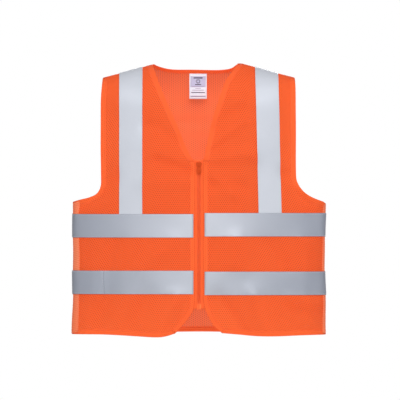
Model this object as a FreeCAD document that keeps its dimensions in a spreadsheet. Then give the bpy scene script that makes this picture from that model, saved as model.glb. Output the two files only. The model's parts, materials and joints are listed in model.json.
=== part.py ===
import FreeCAD, Part
import math
import os
import re
import Sketcher

# High visibility vest in the shape it has when it is worn, in millimetres.
# +Z is up, the front faces -Y and +X is the wearer's left.
# The origin is midway between the two neck points, at the level of the top of the shoulders.

doc = FreeCAD.newDocument("HighVisibilityVest")

SIZES = {
    # Body of the vest
    "flat_half": 120,  # the chest and the back are flat out to here
    "side_half": 273,  # the side seams
    "half_depth": 92,  # inner face of the chest and of the back
    "shoulder_slope": 0.27,  # fall of the shoulder for each millimetre outwards
    "side_turn": 45,  # where the gentle and the tight side curve meet, degrees
    "form_bottom": 700,
    "form_top": 60,
    "form_reach": 320,
    # Cloth
    "mesh_thick": 1.0,
    "tape_thick": 0.6,
    "lining_thick": 0.6,
    # Neck
    "neck_half": 93,
    "neck_drop": 13.6,
    "vee_bottom": 213,
    "vee_curve": 1300,
    "binding_width": 14,
    # Armholes
    "arm_half": 210,
    "arm_bottom": 252,
    "arm_curve": 38,
    "arm_turn": 70,
    "arm_binding": 12,
    # Hems and the split under the zip
    "front_hem": 588,
    "back_hem": 583,
    "hem_width": 9,
    "split_top": 515,
    "split_half": 52,
    "split_curve": 170,
    # Crease that each front folds along
    "crease_top_half": 48,
    "crease_top": 104,
    "crease_hem_half": 115,
    "crease_gap": 0.4,
    "crease_foot": 2,  # length of crease that the flap's binding lies along
    # Reflective tapes, 2 inch
    "tape_width": 50.8,
    "shoulder_tape_half": 122,
    "upper_tape_top": 325,
    "lower_tape_top": 450,
    "tape_end_half": 12,
    # Zip
    "front_edge_half": 10,
    "zip_tape_half": 20,
    "coil_inner": 0.7,
    "coil_width": 2.9,
    "coil_thick": 2.4,
    "coil_top": 213.5,
    "coil_bottom": 520,
    "stop_height": 3.5,
    "fitting_height": 12,
    "box_outer": 5.4,
    "box_thick": 3.2,
    "pin_more": 2,
    # Slider and pull
    "slider_half": 6.0,
    "slider_top": 214.5,
    "slider_height": 12.5,
    "slider_play": 0.35,
    "plate_thick": 1.4,
    "flange_thick": 0.7,
    "diamond_half": 0.35,
    "diamond_height": 5,
    "bail_half": 4.0,
    "bail_width": 1.6,
    "bail_bar": 0.8,
    "bail_height": 2.3,
    "pull_centre": 220.5,
    "pull_thick": 1.2,
    "pull_half": 5.2,
    "pull_length": 20,
    "pull_top": 0.6,
    "pull_window": 5.0,
    "pull_window_half": 1.2,
    "pull_hole": 1.3,
    "pull_hole_down": 15,
    "pull_cut": 2.4,  # depth of the cuts that make the window and the hole, right through the tab
    "pull_room": 1.152,  # from the slider's plate to the middle of the tab's top bar
    # Label
    "label_width": 39,
    "label_height": 55,
    "label_thick": 0.5,
    "label_top": 21,
    "label_back": 58,
}

sheet = doc.addObject("Spreadsheet::Sheet", "Sizes")
for row, (alias, size) in enumerate(SIZES.items(), 1):
    sheet.set(f"A{row}", alias)
    sheet.set(f"B{row}", str(size))
    sheet.setAlias(f"B{row}", alias)
doc.recompute()

# Sketch planes: local x and y of each sketch, in the vest's own axes.
FRONT_VIEW = FreeCAD.Rotation(FreeCAD.Vector(1, 0, 0), 90)
PLAN_VIEW = FreeCAD.Rotation()
SIDE_VIEW = FreeCAD.Rotation(FreeCAD.Vector(1, 1, 1), 120)


def bound(text):
    """Turns the words of an expression that are sizes into references to the sheet."""
    return re.sub("[a-z_]+", lambda word: "Sizes." + word[0] if word[0] in SIZES else word[0], text)


def number(text):
    """The value of an expression over the sheet."""
    return float(sheet.evalExpression(bound(text)))


def bind(thing, sizes):
    """Binds properties of an object to expressions over the sheet."""
    for place, text in sizes.items():
        thing.setExpression(place, bound(text))
    return thing


def hold(sketch, edge, end, axis, text):
    """Holds one end of a sketch edge at a distance from the sketch's own origin."""
    constraint = Sketcher.Constraint("Distance" + axis, -1, 1, edge, end, number(text))
    index = sketch.addConstraint(constraint)
    sketch.setExpression(f"Constraints[{index}]", bound(text))


def arc_between(start, end, radius):
    """An anticlockwise arc, bulging to the right of the way from start to end, or to the left if negative."""
    chord = end - start
    side = FreeCAD.Vector(chord.y, -chord.x, 0).normalize()
    size = abs(radius)
    rise = size - math.sqrt(max(size**2 - chord.Length**2 / 4, 0))
    middle = (start + end) / 2 + side * math.copysign(rise, radius)
    if radius > 0:
        return Part.Arc(start, middle, end)
    return Part.Arc(end, middle, start)


def outline(name, rotation, corners, body=None):
    """A closed sketch. A corner is (x, y), or (x, y, radius) where an arc leaves it, all as expressions."""
    sketch = (body.newObject if body else doc.addObject)("Sketcher::SketchObject", name)
    sketch.Placement = FreeCAD.Placement(FreeCAD.Vector(), rotation)
    points = [FreeCAD.Vector(number(corner[0]), number(corner[1]), 0) for corner in corners]
    count = len(corners)
    clockwise = [len(corner) == 3 and number(corner[2]) < 0 for corner in corners]
    for i, corner in enumerate(corners):
        start, end = points[i], points[(i + 1) % count]
        if len(corner) == 3:
            sketch.addGeometry(arc_between(start, end, number(corner[2])))
        else:
            sketch.addGeometry(Part.LineSegment(start, end))
    for i, corner in enumerate(corners):
        first = 2 if clockwise[i] else 1
        last = 1 if clockwise[i - 1] else 2
        sketch.addConstraint(Sketcher.Constraint("Coincident", (i - 1) % count, last, i, first))
        hold(sketch, i, first, "X", corner[0])
        hold(sketch, i, first, "Y", corner[1])
        if len(corner) == 3:
            radius = corner[2].lstrip("-")
            index = sketch.addConstraint(Sketcher.Constraint("Radius", i, number(radius)))
            sketch.setExpression(f"Constraints[{index}]", bound(radius))
    return sketch


def extrusion(name, sketch, direction, forward, backward="0"):
    """A solid swept from a sketch along a direction, both ways."""
    swept = doc.addObject("Part::Extrusion", name)
    swept.Base = sketch
    swept.DirMode = "Custom"
    swept.Dir = direction
    swept.Solid = True
    return bind(swept, {"LengthFwd": forward, "LengthRev": backward})


def fuse(name, shapes):
    fused = doc.addObject("Part::MultiFuse", name)
    fused.Shapes = shapes
    return fused


def common(name, shapes):
    shared = doc.addObject("Part::MultiCommon", name)
    shared.Shapes = shapes
    return shared


def cut(name, base, tool):
    rest = doc.addObject("Part::Cut", name)
    rest.Base = base
    rest.Tool = tool
    return rest


def box(name, x, y, z):
    """A box between two planes along each axis, all given as expressions."""
    block = doc.addObject("Part::Box", name)
    sizes = {}
    for axis, size, (low, high) in zip("xyz", ("Length", "Width", "Height"), (x, y, z)):
        sizes["Placement.Base." + axis] = low
        sizes[size] = f"( {high} ) - ( {low} )"
    return bind(block, sizes)


# The form that the cloth lies on, grown outwards by an offset.


def plan_corners(grow):
    """The vest seen from above: flat chest and back, joined by a gentle and a tight arc at each side."""
    width = "( side_half - flat_half )"
    turn = "sin( side_turn )"
    rest = "( 1 - cos( side_turn ) )"
    gentle = f"( ( {width} * {turn} - half_depth * {rest} ) / ( {turn} ^ 2 - {rest} ^ 2 ) )"
    tight = f"( ( half_depth - {gentle} * {rest} ) / {turn} )"
    gentle_grown = f"( {gentle} + {grow} )"
    tight_grown = f"( {tight} + {grow} )"
    meet_x = f"( flat_half + {gentle_grown} * {turn} )"
    meet_y = f"( half_depth + {grow} - {gentle_grown} * {rest} )"
    depth = f"( half_depth + {grow} )"
    side = f"( side_half + {grow} )"
    return [
        ("0 - flat_half", f"0 - {depth}"),
        ("flat_half", f"0 - {depth}", gentle_grown),
        (meet_x, f"0 - {meet_y}", tight_grown),
        (side, "0", tight_grown),
        (meet_x, meet_y, gentle_grown),
        ("flat_half", depth),
        ("0 - flat_half", depth, gentle_grown),
        (f"0 - {meet_x}", meet_y, tight_grown),
        (f"0 - {side}", "0", tight_grown),
        (f"0 - {meet_x}", f"0 - {meet_y}", gentle_grown),
    ]


def shoulder_corners(grow):
    """The vest seen from the side: upright walls under a round shoulder."""
    radius = f"( half_depth + {grow} )"
    return [
        (f"0 - {radius}", "0 - form_bottom"),
        (radius, "0 - form_bottom"),
        (radius, "0 - half_depth", radius),
        ("0", grow, radius),
        (f"0 - {radius}", "0 - half_depth"),
    ]


def form(name, grow):
    """The whole closed form: level across the neck and sloping down each shoulder."""
    plan = outline(name + "Plan", PLAN_VIEW, plan_corners(grow))
    column = extrusion(name + "Column", plan, FreeCAD.Vector(0, 0, 1), "form_top", "form_bottom")
    shoulders = outline(name + "Shoulders", SIDE_VIEW, shoulder_corners(grow))
    level = extrusion(name + "Level", shoulders, FreeCAD.Vector(1, 0, 0), "neck_half", "neck_half")
    spans = [level]
    for side, way in (("Left", 1), ("Right", -1)):
        start = outline(f"{name}{side}Start", SIDE_VIEW, shoulder_corners(grow))
        bind(start, {"Placement.Base.x": f"{way} * neck_half"})
        slope = math.hypot(1, SIZES["shoulder_slope"])
        fall = FreeCAD.Vector(way / slope, 0, -SIZES["shoulder_slope"] / slope)
        spans.append(extrusion(f"{name}{side}", start, fall, "form_reach"))
    return common(name, [column, fuse(name + "Spans", spans)])


FORMS = {
    "Lining": form("LiningForm", "0 - lining_thick"),
    "Inner": form("InnerForm", "0"),
    "Mesh": form("MeshForm", "mesh_thick"),
    "Tape": form("TapeForm", "mesh_thick + tape_thick"),
}
LINING = cut("LiningLayer", FORMS["Inner"], FORMS["Lining"])
MESH = cut("MeshLayer", FORMS["Mesh"], FORMS["Inner"])
TAPE = cut("TapeLayer", FORMS["Tape"], FORMS["Mesh"])

nodes = []


def node(label, piece):
    """Marks a finished sub-part: its label is the name of its file."""
    piece.Label = label
    nodes.append(piece)
    return piece


def cloth(label, layer, corners, faces="front"):
    """A piece of a cloth layer inside an outline drawn in the front view, on the front, the back or both."""
    sketch = outline(label + "_outline", FRONT_VIEW, corners)
    front = "0" if faces == "back" else "form_reach"
    back = "0" if faces == "front" else "form_reach"
    pad = extrusion(label + "_pad", sketch, FreeCAD.Vector(0, -1, 0), front, back)
    return node(label, common(label + "_cloth", [layer, pad]))


def mirrored(corners):
    """The same outline on the other side of the vest."""
    flipped = []
    for corner in corners:
        turned = (f"0 - ( {corner[0]} )", corner[1])
        if len(corner) == 3:
            arc = corner[2]
            turned += (arc[1:] if arc.startswith("-") else "-" + arc,)
        flipped.append(turned)
    return flipped


def on_side(corners, way):
    return corners if way > 0 else mirrored(corners)


def rectangle(left, right, low, high):
    return [(left, low), (right, low), (right, high), (left, high)]


# Outlines on the wearer's left side. Heights are measured down from the top of the shoulders.

CREASE_SLOPE = "( ( crease_hem_half - crease_top_half ) / ( front_hem - crease_top ) )"


def crease_at(depth):
    """How far out the crease is, at a depth below the shoulders."""
    return f"( crease_top_half + {CREASE_SLOPE} * ( {depth} - crease_top ) )"


def armhole(inset):
    """The armhole edge from the shoulder to beyond the side seam, moved inwards by an inset."""
    radius = f"( arm_curve + {inset} )"
    centre_x = "( arm_half + arm_curve )"
    end_x = f"( {centre_x} - {radius} * cos( arm_turn ) )"
    end_depth = f"( arm_bottom + {radius} * sin( arm_turn ) )"
    reach_depth = f"( {end_depth} + ( form_reach - {end_x} ) / tan( arm_turn ) )"
    return [
        (f"arm_half - {inset}", "form_top"),
        (f"arm_half - {inset}", "0 - arm_bottom", radius),
        (end_x, f"0 - {end_depth}"),
        ("form_reach", f"0 - {reach_depth}"),
    ]


def reverse(corners):
    """The same corners walked the other way, with each arc kept between its own two corners."""
    turned = []
    for i in range(len(corners) - 1, -1, -1):
        point = corners[i][:2]
        arc = corners[i - 1][2] if i and len(corners[i - 1]) == 3 else None
        turned.append(point + ("-" + arc,) if arc else point)
    return turned


LEFT_AND_RIGHT = (("left", 1), ("right", -1))

# Root: back panel, outer fronts, shoulder and waist tapes, bindings and hems.

NECK_CURVE = "( neck_half ^ 2 / neck_drop / 2 + neck_drop / 2 )"
left_edge = armhole("0")
back_edge = reverse(left_edge)
back_corners = (
    [("0 - neck_half", "0", NECK_CURVE), ("neck_half", "0"), ("neck_half", "form_top")]
    + left_edge
    + [("form_reach", "0 - back_hem"), ("0 - form_reach", "0 - back_hem")]
    + mirrored(back_edge)
    + [("0 - neck_half", "form_top")]
)
cloth("back_panel", MESH, back_corners, "back")
cloth(
    "back_neck_binding",
    TAPE,
    [
        ("0 - neck_half", "0", NECK_CURVE),
        ("neck_half", "0"),
        ("neck_half", "0 - binding_width", "-" + NECK_CURVE),
        ("0 - neck_half", "0 - binding_width"),
    ],
    "back",
)
cloth(
    "back_hem",
    LINING,
    rectangle("0 - form_reach", "form_reach", "0 - back_hem", "hem_width - back_hem"),
    "back",
)

for side, way in LEFT_AND_RIGHT:
    crease_top_x = crease_at("crease_top") + " + crease_gap"
    crease_hem_x = crease_at("front_hem") + " + crease_gap"
    front = (
        [("neck_half", "form_top")]
        + left_edge
        + [
            ("form_reach", "0 - front_hem"),
            (crease_hem_x, "0 - front_hem"),
            (crease_top_x, "0 - crease_top", "-vee_curve"),
            ("neck_half", "0"),
        ]
    )
    cloth(f"{side}_front_panel", MESH, on_side(front, way))
    binding = [
        (crease_top_x, "0 - crease_top", "-vee_curve"),
        ("neck_half", "0"),
        ("neck_half + binding_width", "0", "vee_curve"),
        (crease_top_x + " + binding_width", "0 - crease_top"),
    ]
    cloth(f"{side}_neck_binding", TAPE, on_side(binding, way))
    edge = left_edge + reverse(armhole("arm_binding"))
    cloth(f"{side}_armhole_binding", TAPE, on_side(edge, way), "both")
    hem = [
        (crease_hem_x, "0 - front_hem"),
        ("form_reach", "0 - front_hem"),
        ("form_reach", "hem_width - front_hem"),
        (crease_at("( front_hem - hem_width )") + " + crease_gap", "hem_width - front_hem"),
    ]
    cloth(f"{side}_front_hem", LINING, on_side(hem, way))
    shoulder = rectangle(
        "shoulder_tape_half", "shoulder_tape_half + tape_width", "0 - upper_tape_top", "form_top"
    )
    cloth(f"{side}_shoulder_tape", TAPE, on_side(shoulder, way), "both")

for level in ("upper", "lower"):
    top = level + "_tape_top"
    bottom = f"( {top} + tape_width )"
    low, high = f"0 - {bottom}", f"0 - {top}"
    cloth(f"back_{level}_tape", TAPE, rectangle("0 - form_reach", "form_reach", low, high), "back")
    for side, way in LEFT_AND_RIGHT:
        outer = [
            (crease_at(bottom) + " + crease_gap", low),
            ("form_reach", low),
            ("form_reach", high),
            (crease_at(top) + " + crease_gap", high),
        ]
        cloth(f"{side}_front_{level}_tape", TAPE, on_side(outer, way))
        inner = [
            ("tape_end_half", low),
            (crease_at(bottom) + " - crease_gap", low),
            (crease_at(top) + " - crease_gap", high),
            ("tape_end_half", high),
        ]
        cloth(f"{side}_flap_{level}_tape", TAPE, on_side(inner, way))

# Folding flaps: the part of each front between its crease and the zip.

for side, way in LEFT_AND_RIGHT:
    crease_top_x = crease_at("crease_top") + " - crease_gap"
    crease_hem_x = crease_at("front_hem") + " - crease_gap"
    flap = [
        ("front_edge_half", "0 - vee_bottom", "-vee_curve"),
        (crease_top_x, "0 - crease_top"),
        (crease_hem_x, "0 - front_hem"),
        ("split_half", "0 - front_hem", "-split_curve"),
        ("front_edge_half", "0 - split_top"),
    ]
    cloth(f"{side}_flap_panel", MESH, on_side(flap, way))
    binding = [
        ("front_edge_half", "0 - vee_bottom", "-vee_curve"),
        (crease_top_x, "0 - crease_top"),
        (crease_at("( crease_top + crease_foot )") + " - crease_gap", "0 - crease_top - crease_foot"),
        ("front_edge_half + binding_width", "0 - vee_bottom"),
    ]
    cloth(f"{side}_flap_binding", TAPE, on_side(binding, way))
    hem = [
        ("split_half", "0 - front_hem"),
        (crease_hem_x, "0 - front_hem"),
        (crease_at("( front_hem - hem_width )") + " - crease_gap", "hem_width - front_hem"),
        ("split_half", "hem_width - front_hem"),
    ]
    cloth(f"{side}_flap_hem", LINING, on_side(hem, way))

# Zip.


def across(way, near, far):
    """Two planes at the given distances from the middle, in rising order, on one side of the vest."""
    return (near, far) if way > 0 else (f"0 - ( {far} )", f"0 - ( {near} )")


coil_middle = "( half_depth - lining_thick / 2 )"
coil_depth = (f"0 - {coil_middle} - coil_thick / 2", f"coil_thick / 2 - {coil_middle}")
coil_outer = "( coil_inner + coil_width )"
zip_tapes = {}

for side, way in LEFT_AND_RIGHT:
    tape = box(
        f"{side}_zip_tape",
        across(way, coil_outer, "zip_tape_half"),
        ("0 - half_depth", "lining_thick - half_depth"),
        ("0 - coil_bottom - fitting_height", "0 - coil_top"),
    )
    zip_tapes[side] = node(f"{side}_zip_tape", tape)
    coil = box(
        f"{side}_zip_coil",
        across(way, "coil_inner", coil_outer),
        coil_depth,
        ("0 - coil_bottom", "0 - coil_top"),
    )
    node(f"{side}_zip_coil", coil)
    stop = box(
        f"{side}_top_stop",
        across(way, "coil_inner", coil_outer),
        coil_depth,
        ("0 - coil_top", "stop_height - coil_top"),
    )
    node(f"{side}_top_stop", stop)

# The retainer box closes round the end of the wearer's left zip tape. The pin on the other tape is beside it.
box_block = box(
    "retainer_block",
    ("diamond_half", "box_outer"),
    (f"0 - {coil_middle} - box_thick / 2", f"box_thick / 2 - {coil_middle}"),
    ("0 - coil_bottom - fitting_height", "0 - coil_bottom"),
)
node("retainer_box", cut("retainer_cut", box_block, zip_tapes["left"]))
pin = box(
    "insertion_pin",
    across(-1, "coil_inner", coil_outer),
    coil_depth,
    ("0 - coil_bottom - fitting_height - pin_more", "0 - coil_bottom"),
)
node("insertion_pin", pin)

# Slider: two plates joined by the diamond between the coils, with flanges that turn in over the tapes.
slider_height = ("0 - slider_top - slider_height", "0 - slider_top")
front_inside = f"( {coil_middle} + coil_thick / 2 + slider_play )"
rear_inside = f"( {coil_middle} - coil_thick / 2 - slider_play )"
plate_face = f"( {front_inside} + plate_thick )"
slider_parts = [
    box(
        "slider_front_plate",
        ("0 - slider_half", "slider_half"),
        (f"0 - {plate_face}", f"0 - {front_inside}"),
        slider_height,
    ),
    box(
        "slider_rear_plate",
        ("0 - slider_half", "slider_half"),
        (f"0 - {rear_inside}", f"plate_thick - {rear_inside}"),
        slider_height,
    ),
    box(
        "slider_diamond",
        ("0 - diamond_half", "diamond_half"),
        (f"0 - {front_inside}", f"0 - {rear_inside}"),
        ("0 - slider_top - diamond_height", "0 - slider_top"),
    ),
]
for side, way in LEFT_AND_RIGHT:
    edge = across(way, "slider_half - flange_thick", "slider_half")
    front_lip = (f"0 - {front_inside}", "0 - half_depth - slider_play")
    rear_lip = ("lining_thick + slider_play - half_depth", f"0 - {rear_inside}")
    slider_parts.append(box(f"slider_{side}_front_flange", edge, front_lip, slider_height))
    slider_parts.append(box(f"slider_{side}_rear_flange", edge, rear_lip, slider_height))

bail_inside = f"( {plate_face} + bail_height )"
bail_block = box(
    "bail_block",
    ("0 - bail_width / 2", "bail_width / 2"),
    (f"0 - {bail_inside} - bail_bar", f"0 - {plate_face}"),
    ("0 - pull_centre - bail_half", "bail_half - pull_centre"),
)
bail_opening = box(
    "bail_opening",
    ("0 - bail_width", "bail_width"),
    (f"0 - {bail_inside}", f"0 - {plate_face}"),
    ("bail_bar - pull_centre - bail_half", "bail_half - bail_bar - pull_centre"),
)
slider_parts.append(cut("bail", bail_block, bail_opening))
node("zip_slider", fuse("slider_body", slider_parts))


def attach(sketch, body):
    """Lays a sketch on a body's own XZ plane."""
    plane = next(face for face in body.Origin.OriginFeatures if face.Role == "XZ_Plane")
    sketch.AttachmentSupport = (plane, "")
    sketch.MapMode = "FlatFace"
    return sketch


def pocket(body, name, sketch):
    """Cuts a sketch's shape right through a body."""
    opening = body.newObject("PartDesign::Pocket", name)
    opening.Profile = sketch
    opening.Midplane = True
    return bind(opening, {"Length": "pull_cut"})


def ring_outline(body, name, radius, down):
    """A circle on the body's middle line, at a distance below its origin."""
    ring = attach(body.newObject("Sketcher::SketchObject", name), body)
    centre = FreeCAD.Vector(0, -number(down), 0)
    ring.addGeometry(Part.Circle(centre, FreeCAD.Vector(0, 0, 1), number(radius)))
    ring.addConstraint(Sketcher.Constraint("PointOnObject", 0, 3, -2))
    hold(ring, 0, 3, "Y", f"0 - {down}")
    index = ring.addConstraint(Sketcher.Constraint("Radius", 0, number(radius)))
    ring.setExpression(f"Constraints[{index}]", bound(radius))
    return ring


def pull_tab():
    """A flat tab with a window for the bail and a hole near its lower end. It hangs from its top bar."""
    body = doc.addObject("PartDesign::Body", "pull_tab_body")
    shape = [
        ("0 - pull_half", "pull_top"),
        ("0 - pull_half", "pull_half - pull_length", "pull_half"),
        ("0", "0 - pull_length", "pull_half"),
        ("pull_half", "pull_half - pull_length"),
        ("pull_half", "pull_top"),
    ]
    plate = body.newObject("PartDesign::Pad", "pull_plate")
    plate.Profile = attach(outline("pull_outline", FRONT_VIEW, shape, body), body)
    plate.Midplane = True
    bind(plate, {"Length": "pull_thick"})
    corners = rectangle("0 - pull_window_half", "pull_window_half", "0 - pull_window", "0 - pull_top")
    window = attach(outline("window_outline", FRONT_VIEW, corners, body), body)
    pocket(body, "pull_window", window)
    hole = ring_outline(body, "hole_outline", "pull_hole", "pull_hole_down")
    body.Tip = pocket(body, "pull_hole", hole)
    bind(body, {"Placement.Base.y": f"0 - {plate_face} - pull_room", "Placement.Base.z": "0 - pull_centre"})
    return node("pull_tab", body)


pull_tab()

# Label, sewn in at its top edge under the back neck binding. It hangs free inside the back.
label = box(
    "neck_label_block",
    ("0 - label_width / 2", "label_width / 2"),
    ("label_back - label_thick", "label_back"),
    ("0 - label_top - label_height", "0 - label_top"),
)
node("neck_label", label)

doc.recompute()
bad = [thing.Name for thing in doc.Objects if {"Invalid", "Error"} & set(thing.State)]
for piece in nodes:
    if piece.Shape.isNull() or not piece.Shape.isValid() or not piece.Shape.Solids:
        bad.append(piece.Label)
if bad:
    raise RuntimeError("failed: " + ", ".join(bad))

os.makedirs("parts", exist_ok=True)
for piece in nodes:
    piece.Shape.exportStep(f"parts/{piece.Label}.step")
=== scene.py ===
import json
import math

import bpy
import numpy as np
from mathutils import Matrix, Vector, geometry


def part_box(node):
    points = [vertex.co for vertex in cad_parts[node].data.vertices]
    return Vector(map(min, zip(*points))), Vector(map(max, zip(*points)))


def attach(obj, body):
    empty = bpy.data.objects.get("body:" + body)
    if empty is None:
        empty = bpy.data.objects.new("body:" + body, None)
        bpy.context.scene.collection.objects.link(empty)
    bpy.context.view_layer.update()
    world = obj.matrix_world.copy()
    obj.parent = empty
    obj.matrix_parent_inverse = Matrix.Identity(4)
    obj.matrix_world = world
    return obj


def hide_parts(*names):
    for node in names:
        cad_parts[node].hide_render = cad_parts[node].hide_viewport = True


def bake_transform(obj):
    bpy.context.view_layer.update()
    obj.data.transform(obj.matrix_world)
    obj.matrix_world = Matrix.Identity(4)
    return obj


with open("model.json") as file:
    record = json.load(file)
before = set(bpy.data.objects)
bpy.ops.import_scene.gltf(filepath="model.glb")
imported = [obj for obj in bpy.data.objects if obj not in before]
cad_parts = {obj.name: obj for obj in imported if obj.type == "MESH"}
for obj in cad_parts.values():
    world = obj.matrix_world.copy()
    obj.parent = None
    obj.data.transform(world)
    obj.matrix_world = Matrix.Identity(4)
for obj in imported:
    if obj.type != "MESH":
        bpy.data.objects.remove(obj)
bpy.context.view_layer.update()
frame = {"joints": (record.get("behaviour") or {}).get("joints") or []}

# High visibility vest, in its worn shape with nobody in it. Metres, +Z up, the front faces -Y, and +X is the
# wearer's left.

JOINTS = {joint["name"]: joint for joint in frame["joints"]}
SIDES = {"left": 1, "right": -1}  # the sides of the wearer, and which way along X each one is

# ---- sizes, from the frame where it has them

FLAP_LOW, FLAP_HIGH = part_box("left_flap_panel")
BACK_LOW, BACK_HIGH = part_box("back_panel")
CLOTH = FLAP_HIGH[1] - FLAP_LOW[1]
DEPTH = -(FLAP_LOW[1] + FLAP_HIGH[1]) / 2
SIDE = BACK_HIGH[0] - CLOTH / 2
FRONT_EDGE = FLAP_LOW[0]
VEE_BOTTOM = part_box("left_flap_binding")[0][2]
HEM = BACK_LOW[2]
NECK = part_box("back_neck_binding")[1][0]
SHOULDER_FALL = 0.27
SOFT_CORNER = 0.0025  # how softly the shoulder line turns down from the neck
SHOULDER_END = 0.2  # where the shoulders are at their fullest
ROUNDNESS = 2.4  # of the vest seen from above: 2 is an ellipse, more is boxier
TAPE_LOW, TAPE_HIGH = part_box("back_upper_tape")
TAPE_WIDTH = TAPE_HIGH[2] - TAPE_LOW[2]
TAPE_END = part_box("left_flap_upper_tape")[0][0]
STEP = 0.0045  # spacing of the cloth's mesh

# ---- camera

MIDDLE = Vector((0.0022, 0, -0.296))
VIEW_WIDTH = 0.864
DISTANCE = 20.0
SENSOR = 36


def camera():
    """A very long lens far in front, at the middle height of the vest."""
    lens = bpy.data.cameras.new("camera")
    lens.sensor_width = SENSOR
    lens.lens = SENSOR * DISTANCE / VIEW_WIDTH
    lens.clip_end = 100
    thing = bpy.data.objects.new("camera", lens)
    thing.location = (MIDDLE.x, -DISTANCE - DEPTH, MIDDLE.z)
    thing.rotation_euler = (math.pi / 2, 0, 0)
    bpy.context.scene.collection.objects.link(thing)
    bpy.context.scene.camera = thing


camera()

# ---- the form that all the cloth lies on
# A place on the cloth is (u, w). u is measured round the body from the middle towards the wearer's left, to
# the side seam, on the front and on the back alike. w is measured from the top line of the shoulders, negative
# down the front and positive down the back. Both are distances along the cloth, so (u, w) is also its pattern.
# On the form a place is (s, t): s once round the girth from the middle of the front, and t down the cloth.


def unit(vectors):
    """The same directions, each with a length of 1."""
    return vectors / np.maximum(np.linalg.norm(vectors, axis=-1, keepdims=True), 1e-12)


def together(*parts):
    """One row for each place, from its coordinates, any of which can be a single number."""
    return np.stack(np.broadcast_arrays(*parts), axis=-1)


def round_the_body():
    """The vest's outline seen from above, once round, with the distance walked at each point."""
    angle = np.linspace(0, math.pi / 2, 600)
    x = SIDE * np.sin(angle) ** (2 / ROUNDNESS)
    y = -DEPTH * np.cos(angle) ** (2 / ROUNDNESS)
    for way in (1, -1):
        x = np.concatenate([x, way * x[-2::-1]])
        y = np.concatenate([y, -way * y[-2::-1]])
    walked = np.concatenate([[0], np.cumsum(np.hypot(np.diff(x), np.diff(y)))])
    return walked, x, y


WALKED, ROUND_X, ROUND_Y = round_the_body()
GIRTH = WALKED[-1]
QUARTER = GIRTH / 4


def ridge(x):
    """Height of the top line of the shoulders."""
    out = np.abs(x) - NECK
    return -SHOULDER_FALL * (np.sqrt(out**2 + SOFT_CORNER**2) + out) / 2


def front_s(x):
    quarter = len(WALKED) // 4 + 1
    return np.sign(x) * np.interp(np.abs(x), ROUND_X[:quarter], WALKED[:quarter])


def back_s(x):
    return 2 * QUARTER - front_s(x)


def down_t(x, z):
    """Distance down the cloth from the shoulder line to a height z."""
    fall = np.maximum(ridge(x) - z, 0)
    bent = DEPTH * np.arccos(np.clip(1 - fall / DEPTH, -1, 1))
    return np.where(fall < DEPTH, bent, math.pi / 2 * DEPTH + fall - DEPTH)


def bare(s, t):
    """The form with no folds in it."""
    s = np.mod(s, GIRTH)
    x = np.interp(s, WALKED, ROUND_X)
    y = np.interp(s, WALKED, ROUND_Y)
    bend = np.clip(t / DEPTH, 0, math.pi / 2)
    fall = np.where(t < math.pi / 2 * DEPTH, DEPTH * (1 - np.cos(bend)), t + (1 - math.pi / 2) * DEPTH)
    outer = np.clip((np.abs(x) - NECK) / (SHOULDER_END - NECK), 0, 1)
    fullness = 1 + 0.7 * outer**2 * (3 - 2 * outer)
    shrink = 1 - (1 - np.sin(bend)) ** fullness
    return together(x, y * shrink, ridge(x) - fall)


def outward(s, t):
    """The direction straight out of the form."""
    near = 0.0015
    along = bare(s + near, t) - bare(s - near, t)
    down = bare(s, t + near) - bare(s, np.maximum(t - near, 0))
    return unit(np.cross(down, along))


# Folds and swells in the cloth, drawn in the front view: from (x, z) to (x, z), width and height, in
# millimetres.
FRONT_FOLDS = [
    (22, -208, 114, -200, 14.5, 8.4), (20, -182, 100, -124, 10.5, 5.2), (34, -140, 92, -96, 12, -4),
    (20, -236, 78, -285, 13, 4.4), (26, -262, 92, -266, 14, -4.4), (-18, -236, -92, -212, 13, -7.6),
    (-18, -252, -112, -262, 20, 3.6), (-30, -180, -110, -132, 14, -4), (200, -262, 262, -296, 13.5, 7.6),
    (186, -240, 240, -312, 16, -5.6), (-190, -250, -250, -312, 18, -5.6), (-205, -300, -262, -325, 14, 4),
    (85, -390, 78, -430, 26, 7.2), (150, -392, 175, -430, 22, -4.8), (225, -385, 235, -560, 22, 5.2),
    (-60, -392, -120, -440, 22, 5.2), (-180, -395, -215, -570, 24, -5.6), (40, -505, 95, -580, 18, -7.2),
    (120, -505, 150, -590, 22, 7.2), (205, -512, 255, -522, 18, 5.6), (-50, -510, -85, -590, 18, 8),
    (-115, -505, -150, -590, 24, -6),
]
BACK_FOLDS = [
    (-60, -128, 55, -126, 10, 3.6), (-80, -60, -120, -260, 30, 3.6), (85, -70, 110, -240, 30, -3.4),
    (0, -110, 20, -310, 34, 4.2), (-195, -260, -250, -320, 18, -4.5), (195, -260, 250, -320, 18, -4.5),
    (-60, -390, -100, -580, 30, -4.8), (60, -385, 40, -580, 26, 4.8), (150, -390, 170, -580, 26, -4.2),
    (-190, -390, -200, -580, 26, 4.2),
]


CALM_BY_ZIP, CALM_BY_RIDGE = 0.016, 0.020  # the cloth lies flat this near to the zip and to the shoulder line
ABOVE_ZIP = 0.16  # distance down the cloth to just above the zip


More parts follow.
